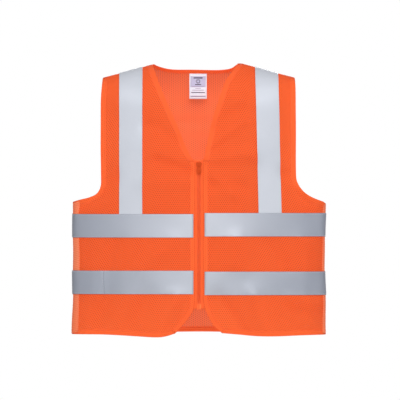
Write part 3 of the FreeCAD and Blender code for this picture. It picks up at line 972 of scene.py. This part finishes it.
def hems():
    turned_edge("back_hem_edge", on_cloth(back_hem_line(), True), HEM_EDGE, "vest", OUTLINES["back"],
                ["back_hem"], "lit_back_edge")
    for side in SIDES:
        turned_edge(f"{side}_hem_edge", on_cloth(smooth(FRONT_HEM[side])), HEM_EDGE, side, OUTLINES[side],
                    [f"{side}_front_hem", f"{side}_flap_hem"], half_thick=0.00045)
        line = front_edge_line(side)
        line = line[line[:, 1] < VEE_BOTTOM + 0.0001]
        path = into(on_cloth(line), OUTLINES[side])
        starts_high = path[0][1] > path[-1][1]
        turned_edge(f"{side}_front_edge", path, FRONT_FOLD, f"{side}_flap", OUTLINES[side], half_thick=0.0006,
                    mitre=(starts_high, not starts_high))


def seams():
    for side, way in SIDES.items():
        seam = on_cloth(seam_line(side))
        seam[:, 1] = 0.002
        strip(f"{side}_shoulder_seam", Way(seam), flat_section(*SHOULDER_SEAM), "double", "vest")
        inner, outer = UNDER_TAPE
        from_middle = np.abs(seam[:, 0])
        for part in (seam[from_middle <= inner], seam[from_middle >= outer]):
            if len(part) > 1:
                for aside in (0.0035, -0.0035):
                    sew("vest", Way(part).aside(aside), 0.0004)
        top = on_cloth(np.array(ARMHOLE[side][-1:]))[0][1]
        bottom = on_cloth(np.array(FRONT_HEM[side][:1]))[0][1]
        down = np.linspace(top - 0.002, bottom + 0.001, round((top - bottom) / STEP))
        side_seam = together(way * QUARTER, down)
        strip(f"{side}_side_seam", Way(side_seam), flat_section(*SIDE_SEAM, 8), "double", "vest")
        for aside in (SEAM_STITCHES, -SEAM_STITCHES):
            sew("vest", Way(side_seam).aside(aside), 0.00065)
        wide = SIDE_FACING[side]
        facing = Way(side_seam - [way * (SEAM_STITCHES + wide / 2), 0])
        # the side facings take the paler mesh: painted light along the sides of the vest
        strip(f"{side}_side_facing", facing, flat_section(wide, 0.0007, -0.0001), "facing", "vest")
        for aside in (wide / 2 - SEWN, SEWN - wide / 2):
            sew("vest", facing.aside(aside), 0.00075)


# ---- reflective tapes

TAPE_THICK = 0.0005
SHOULDER_LIFT, BAND_LIFT = 0.0008, 0.0014
TAPE_MARGIN = 0.0022
BAND_JOINT = 0.210  # where the lower band on the wearer's right is pieced
BAND_LAP = 0.004  # how far each of the two pieces goes past there
SHOULDER_X = {"left": (0.1465, 0.1537), "right": (-0.1474, -0.1476)}
BANDS = {"upper": {"left": -0.3495, "right": -0.3518}, "lower": {"left": -0.4762, "right": -0.4742}}


def stripe(name, way, lift, body, stands_for):
    section = flat_section(TAPE_WIDTH, TAPE_THICK, lift, 14)
    strip(name, way, section, "tape" if lift == SHOULDER_LIFT else "band_tape", body, stands_for)
    top = lift + TAPE_THICK + 0.00012
    reach = TAPE_WIDTH / 2 - TAPE_MARGIN
    for aside in (-reach, reach):
        sew(body, way.aside(aside), top, False, TAPE_STITCHES)
        sew(body, way.aside(aside), -0.0002, False, TAPE_STITCHES)
    points = way.points
    for end, inwards in ((0, points[1] - points[0]), (-1, points[-2] - points[-1])):
        middle = points[end] + unit(inwards) * TAPE_MARGIN
        sideways = way.across[end] * reach
        sew(body, mixed(middle - sideways, middle + sideways, 12), top, False, TAPE_STITCHES)


def level_way(x, z, back=False):
    """The direction of a level line at a place."""
    line = level_line(x - 0.01, x + 0.01, z, back)
    return line[-1] - line[0]


def shoulder_tapes():
    down = np.linspace(0, 1, 120)[:, None] ** 1.3  # closest together where it turns over the shoulder
    for side in SIDES:
        top_x, low_x = SHOULDER_X[side]
        low = BANDS["upper"][side] + TAPE_WIDTH / 2 - 0.005
        top = np.array([[top_x, ridge(top_x)]])
        front = top * (1 - down) + np.array([[low_x, low]]) * down
        rear = top * (1 - down) + np.array([[top_x, low]]) * down
        path = np.vstack([on_cloth(front)[::-1][:-1], on_cloth(rear, True)])
        way = Way(path, first=level_way(low_x, low), last=level_way(top_x, low, True))
        stripe(f"{side}_shoulder_stripe", way, SHOULDER_LIFT, "vest", [f"{side}_shoulder_tape"])


def bands():
    upright = (0, 1)
    for level, heights in BANDS.items():
        for side, way in SIDES.items():
            joined = (side, level) == ("right", "lower")
            end = BAND_JOINT + BAND_LAP if joined else SIDE
            path = level_line(way * TAPE_END, way * end, heights[side])
            stripe(f"{side}_{level}_stripe", Way(path, upright), BAND_LIFT, side,
                   [f"{side}_front_{level}_tape", f"{side}_flap_{level}_tape"])
            if joined:
                path = level_line(way * (BAND_JOINT - BAND_LAP), way * SIDE, heights[side])
                over = BAND_LIFT + TAPE_THICK + 0.0002
                stripe(f"{side}_{level}_stripe_end", Way(path, upright), over, "vest", [])
        height = (heights["left"] + heights["right"]) / 2
        path = level_line(-SIDE, SIDE, height, True)
        stripe(f"back_{level}_stripe", Way(path, upright), BAND_LIFT, "vest", [f"back_{level}_tape"])


# ---- zip

COIL_LOW, COIL_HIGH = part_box("left_zip_coil")
PITCH = 0.0015
WIRE = 0.00031
ACROSS, BACKWARD, UP = (1, 0, 0), (0, 1, 0), (0, 0, 1)


ZIP_CLOTH = (0.0001, 0.0200)  # its inner and outer edge
RIBS = (0.0056, 0.0078)
RIB = [(0.0004, -0.0015), (0.0002, -0.0012), (-0.0002, -0.0012), (-0.0004, -0.0015)]


def zip_cloth(side, way):
    """The woven tape of one half of the zip, with two ribs along it."""
    high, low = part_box(f"{side}_top_stop")[1][2] + 0.0012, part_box(f"{side}_zip_tape")[0][2]

    def down(x):
        return Way(on_cloth(mixed((way * x, high), (way * x, low), 70)))

    inner, outer = ZIP_CLOTH
    section = flat_section(outer - inner, 0.0005, -0.0020, 8)
    strip(f"{side}_zip_cloth", down((inner + outer) / 2), section, "zip_tape", f"{side}_flap",
          [f"{side}_zip_tape"])
    finish_piece(join(f"{side}_zip_ribs", [ribbon(down(x), RIB) for x in RIBS]), "zip_tape", f"{side}_flap")


def coil(side, way):
    """A wire coil pressed flat. The two coils are half a pitch apart, so that their heads mesh."""
    turns = int((COIL_HIGH[2] - COIL_LOW[2]) / PITCH) - 1
    angle = np.arange(turns * 10 + 1) * 2 * math.pi / 10
    middle_x, half_x = 0.0019, 0.0018
    middle_y, half_y = (COIL_LOW[1] + COIL_HIGH[1]) / 2, 0.00082
    start = COIL_HIGH[2] - (PITCH if way > 0 else PITCH / 2)
    points = together(way * (middle_x + half_x * np.cos(angle)), middle_y + half_y * np.sin(angle),
                      start - PITCH * angle / (2 * math.pi))
    wound = sweep(points, UP, oval(WIRE, WIRE, 6))
    finish_piece(join(f"{side}_coil", [wound]), "coil", f"{side}_flap", f"{side}_zip_coil")
    down = np.linspace(COIL_HIGH[2] - 0.001, COIL_LOW[2] + 0.001, 90)
    sewn = sweep(together(way * 0.0024, COIL_LOW[1] + 0.00005, down), BACKWARD, oval(0.00032, 0.00018, 6))
    finish_piece(join(f"{side}_coil_thread", [sewn]), "thread", f"{side}_flap")


def fitting(name, node, body, corner):
    """A moulded block with bevelled edges that fills a node's box."""
    low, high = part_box(node)
    bevel = 0.0005
    profile = [(bevel, high[1]), (0, high[1] - bevel), (0, low[1] + bevel), (bevel, low[1])]
    shape = block(low[0], high[0], low[2], high[2], corner)
    finish_piece(join(name, [moulding([shape], profile)], True), "coil", body, node)


def zip_parts():
    for side, way in SIDES.items():
        zip_cloth(side, way)
        coil(side, way)
        fitting(f"{side}_stop", f"{side}_top_stop", f"{side}_flap", 0.0009)
    fitting("zip_box", "retainer_box", "left_flap", 0.0011)
    fitting("zip_pin", "insertion_pin", "right_flap", 0.0013)


# ---- slider and pull

SLIDER_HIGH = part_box("zip_slider")[1]
PULL_LOW, PULL_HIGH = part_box("pull_tab")
PULL_AXIS = JOINTS["pull_swing"]["pos_m"]
PLATE_FACE = -0.09465
PLATE = 0.0014
SHIELD = [(0, -12.5), (2.4, -12.45), (3.9, -11.6), (4.5, -9.6), (5.2, -6.0), (5.9, -3.4), (5.7, -1.3),
          (4.4, -0.1), (2.4, 0.0), (0.9, -0.7)]
# (y, z) from the slider's front face and its top
BAIL = [(0.0004, -0.0024), (-0.0014, -0.0024), (-0.0024, -0.0030), (-0.0027, -0.0042), (-0.0027, -0.0076),
        (-0.0024, -0.0088), (-0.0014, -0.0094), (0.0004, -0.0094)]
SLIDER_RIB = [(0.0040, 0.0022), (0.0036, 0.0060), (0.0030, 0.0102)]


def slider():
    """A front and a rear plate with lips at their sides, a post between them, a bail on two feet, and two ribs."""
    top, rear, front = SLIDER_HIGH[2], SLIDER_HIGH[1], PLATE_FACE
    shield = rounded(both_halves(SHIELD)) + [0, top]
    post = rounded(both_halves([(0, -5.0), (0.3, -3.6), (0.3, -1.4), (0, -0.8)])) + [0, top]
    bevel = 0.0005
    parts = [
        moulding([shield], [(bevel / 2, front + PLATE), (0, front + PLATE - bevel / 2), (0, front + bevel),
                            (bevel * 0.4, front + bevel * 0.3), (bevel * 1.4, front)]),
        moulding([shield], [(bevel, rear), (0, rear - bevel), (0, rear - PLATE + bevel / 2),
                            (bevel / 2, rear - PLATE)]),
        moulding([post], [(0, rear - PLATE + 0.0001), (0, front + PLATE - 0.0001)]),
    ]
    for way in (1, -1):
        side = smooth([(way * x / 1000, top + z / 1000) for x, z in SHIELD[3:8]], 0.0006) - [way * 0.0004, 0]
        for y, lip in ((front + PLATE, 0.00035), (rear - PLATE, -0.00025)):
            parts.append(sweep(at_depth(side, y + lip / 2), BACKWARD, oval(0.00035, abs(lip), 6)))
    bail = smooth([(front + y, top + z) for y, z in BAIL], 0.0004)
    parts.append(sweep(together(0, bail[:, 0], bail[:, 1]), ACROSS, oval(0.0004, 0.0008, 10)))
    for z in (BAIL[0][1], BAIL[-1][1]):
        foot = block(-0.0012, 0.0012, top + z - 0.0009, top + z + 0.0009, 0.0007)
        parts.append(moulding([foot], [(0, front + 0.0002), (0, front - 0.0003), (0.0004, front - 0.0006)]))
    for way in (1, -1):
        rib = smooth([(way * x, top - down) for x, down in SLIDER_RIB], 0.0006)
        parts.append(sweep(at_depth(rib, front - 0.00005), BACKWARD, oval(0.00045, 0.0003, 8)))
    finish_piece(join("slider_body", parts, True), "slider", "slider", "zip_slider")


TAB = [(0, -20.0), (2.4, -19.5), (4.2, -17.6), (4.9, -14.4), (5.1, -10.5), (4.6, -6.5), (3.6, -3.2),
         (3.1, -0.8), (2.6, 0.5), (1.0, 0.6)]


HOLE_DOWN, HOLE, HOLE_RIM = 0.0150, 0.0013, 0.0018
GRIP_BARS = (0.0070, 0.0086, 0.0102, 0.0118)  # below the pull's axis


def pull():
    """A tab with a window for the bail, a rimmed hole at its end, and four grip bars."""
    y, z = PULL_AXIS[1:]
    half = (PULL_HIGH[1] - PULL_LOW[1]) / 2
    tab = rounded(both_halves(TAB)) + [0, z]
    window = block(-0.0012, 0.0012, z - 0.0050, z - 0.0006, 0.0006)[::-1]
    turn = np.arange(24) * 2 * math.pi / 24
    round_hole = together(np.cos(turn), -np.sin(turn))
    middle = [0, z - HOLE_DOWN]
    bevel = 0.0003
    profile = [(bevel, y + half), (0, y + half - bevel), (0, y - half + bevel), (bevel, y - half)]
    parts = [moulding([tab, window, middle + HOLE * round_hole], profile)]
    rim = at_depth(middle + HOLE_RIM * round_hole[::-1], y - half)
    parts.append(sweep(np.vstack([rim, rim[:2]]), BACKWARD, oval(0.00028, 0.00024, 6)))
    along = np.linspace(-1, 1, 9)
    for down in GRIP_BARS:
        bar = together(0.0030 * along, y - half + 0.00022 * along**6, z - down)
        parts.append(sweep(bar, BACKWARD, oval(0.00036, 0.0002, 8)))
    finish_piece(join("pull", parts, True), "slider", "pull", "pull_tab")


# ---- label

LABEL_LOW, LABEL_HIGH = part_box("neck_label")
LABEL_LEFT, LABEL_RIGHT = -0.0210, 0.0170
LABEL_MIDDLE = (LABEL_LEFT + LABEL_RIGHT) / 2
LABEL_THICK = 0.00035


def label_y(x, z):
    """The label's front face: it bows a little forwards below its stitching."""
    down = np.clip((LABEL_HIGH[2] - z) / (LABEL_HIGH[2] - LABEL_LOW[2]), 0, 1)
    side = (x - LABEL_MIDDLE) / (LABEL_RIGHT - LABEL_LEFT) * 2
    return LABEL_LOW[1] - 0.0022 * np.sin(down * math.pi * 0.85) ** 2 + 0.0008 * side**2 * down


def label_patch(x0, x1, z0, z1, front, back, columns=14, rows=2):
    """A thin patch that follows the label's face, between two depths in front of it."""
    x, z = np.meshgrid(np.linspace(x0, x1, columns + 1), np.linspace(z0, z1, rows + 1))
    x, z = x.ravel(), z.ravel()
    y = label_y(x, z)
    count, wide = len(x), columns + 1
    vertices = np.vstack([together(x, y - front, z), together(x, y - back, z)])
    faces = []
    for i in range(rows):
        for j in range(columns):
            a, b, c, d = i * wide + j, i * wide + j + 1, (i + 1) * wide + j + 1, (i + 1) * wide + j
            faces += [(a, b, c, d), (count + d, count + c, count + b, count + a)]
    rim = list(range(wide)) + [i * wide + columns for i in range(1, rows + 1)]
    rim += [rows * wide + j for j in range(columns - 1, -1, -1)] + [i * wide for i in range(rows - 1, 0, -1)]
    for i, v in enumerate(rim):
        k = rim[(i + 1) % len(rim)]
        faces.append((v, v + count, k + count, k))
    return vertices, faces, np.vstack([vertices[:count, [0, 2]]] * 2)


def label_marks(name, material, rows, ink=0.00024):
    """Bars of ink on the label. A row is half a bar's width, how far it is below the top, and its height."""
    parts = []
    for half, down, tall in rows:
        high = LABEL_HIGH[2] - down
        parts.append(label_patch(LABEL_MIDDLE - half, LABEL_MIDDLE + half, high - tall, high, ink, -0.00005))
    finish_piece(join(name, parts), material, "label")


def label():
    """The label's cloth, and plain marks in place of its print."""
    top, low = LABEL_HIGH[2], LABEL_LOW[2]
    cloth = join("label_cloth", [label_patch(LABEL_LEFT, LABEL_RIGHT, low, top, 0, -LABEL_THICK, 16, 24)])
    finish_piece(cloth, "label", "label", "neck_label")
    label_marks("label_field", "field_ink", [(0.0165, 0.0056, 0.0450)], 0.00012)
    label_marks("label_dark_marks", "dark_ink",
                [(0.0098, 0.0080, 0.0026), (0.0066, 0.0228, 0.0020), (0.0150, 0.0404, 0.0016)])
    label_marks("label_pale_marks", "pale_ink",
                [(0.0130, 0.0276, 0.0012), (0.0060, 0.0316, 0.0010), (0.0126, 0.0354, 0.0012)])
    turn = np.linspace(0, 2 * math.pi, 33)
    rings = []
    for radius in (0.0044, 0.0028):
        x = LABEL_MIDDLE + radius * np.cos(turn)
        z = top - 0.0168 + radius * np.sin(turn)
        rings.append(sweep(together(x, label_y(x, z) - 0.00016, z), BACKWARD, oval(0.0004, 0.0001, 6)))
    finish_piece(join("label_rings", rings), "dark_ink", "label")
    sewn, row = [], top - 0.0022
    for x in np.arange(LABEL_LEFT + 0.0012, LABEL_RIGHT - 0.002, STITCH_PITCH):
        line = [(x + step, float(label_y(x, row)) - lift, row)
                for step, lift in ((0, -0.0001), (0.0006, 0.0002), (0.0018, 0.0002), (0.0024, -0.0001))]
        sewn.append(sweep(line, UP, oval(THREAD, THREAD, 6)))
    finish_piece(join("label_stitching", sewn), "grey_thread", "label")


# ---- sewing


def sewing():
    kinds = ((STITCHES, "stitching", "thread"), (TAPE_STITCHES, "tape_stitching", "grey_thread"))
    for rows, kind, material in kinds:
        for group, parts in rows.items():
            if parts:
                finish_piece(join(f"{group}_{kind}", parts), material, group)


panels()
neck_edges()
armhole_edges()
hems()
seams()
shoulder_tapes()
bands()
zip_parts()
slider()
pull()
label()
sewing()

# ---- floor and light

FLOOR = -1.25
LAMPS = {  # place, size and power
    "front": ((-0.2, -6.5, 2.0), 1.6, 190),
    "key": ((0.9, -4.4, 3.2), 1.6, 98),
    "overhead": ((0.2, -1.0, 3.4), 2.0, 24),
    "rear": ((0.6, 7.0, 0.8), 1.8, 230),
    "left_side": ((5.5, 0.6, 0.4), 2.2, 40),
    "right_side": ((-5.5, 0.6, 0.4), 2.2, 40),
}
ROOM_LIGHT = 0.36


def stage():
    bpy.ops.mesh.primitive_circle_add(vertices=96, radius=16, fill_type="NGON", location=(0, 0, FLOOR))
    floor = bpy.context.object
    floor.name = "floor"
    n = Nodes("pale_floor")
    n.finish(n.mix(n.noise(3.0), (0.90, 0.90, 0.90, 1), (0.93, 0.93, 0.93, 1)), 0.8)
    floor.data.materials.append(n.material)


def lamps():
    for name, (spot, size, power) in LAMPS.items():
        lamp = bpy.data.lights.new(name, "AREA")
        lamp.size = size
        lamp.energy = power
        thing = bpy.data.objects.new(name, lamp)
        thing.visible_camera = False
        thing.location = spot
        thing.rotation_euler = (MIDDLE - Vector(spot)).to_track_quat("-Z", "Y").to_euler()
        bpy.context.scene.collection.objects.link(thing)


def studio():
    """Soft white light from all round, and plain white where the camera sees past the floor."""
    world = bpy.data.worlds.new("studio")
    world.use_nodes = True
    nodes, links = world.node_tree.nodes, world.node_tree.links
    room = nodes["Background"]
    white, path, mix = [nodes.new("ShaderNode" + kind) for kind in ("Background", "LightPath", "MixShader")]
    for background, strength in ((room, ROOM_LIGHT), (white, 1.0)):
        background.inputs["Color"].default_value = (1, 1, 1, 1)
        background.inputs["Strength"].default_value = strength
    for i, output in enumerate((path.outputs["Is Camera Ray"], room.outputs[0], white.outputs[0])):
        links.new(output, mix.inputs[i])
    links.new(mix.outputs[0], nodes["World Output"].inputs[0])
    bpy.context.scene.world = world
    bpy.context.scene.view_settings.view_transform = "Standard"
    bpy.context.scene.view_settings.look = "None"


stage()
lamps()
studio()
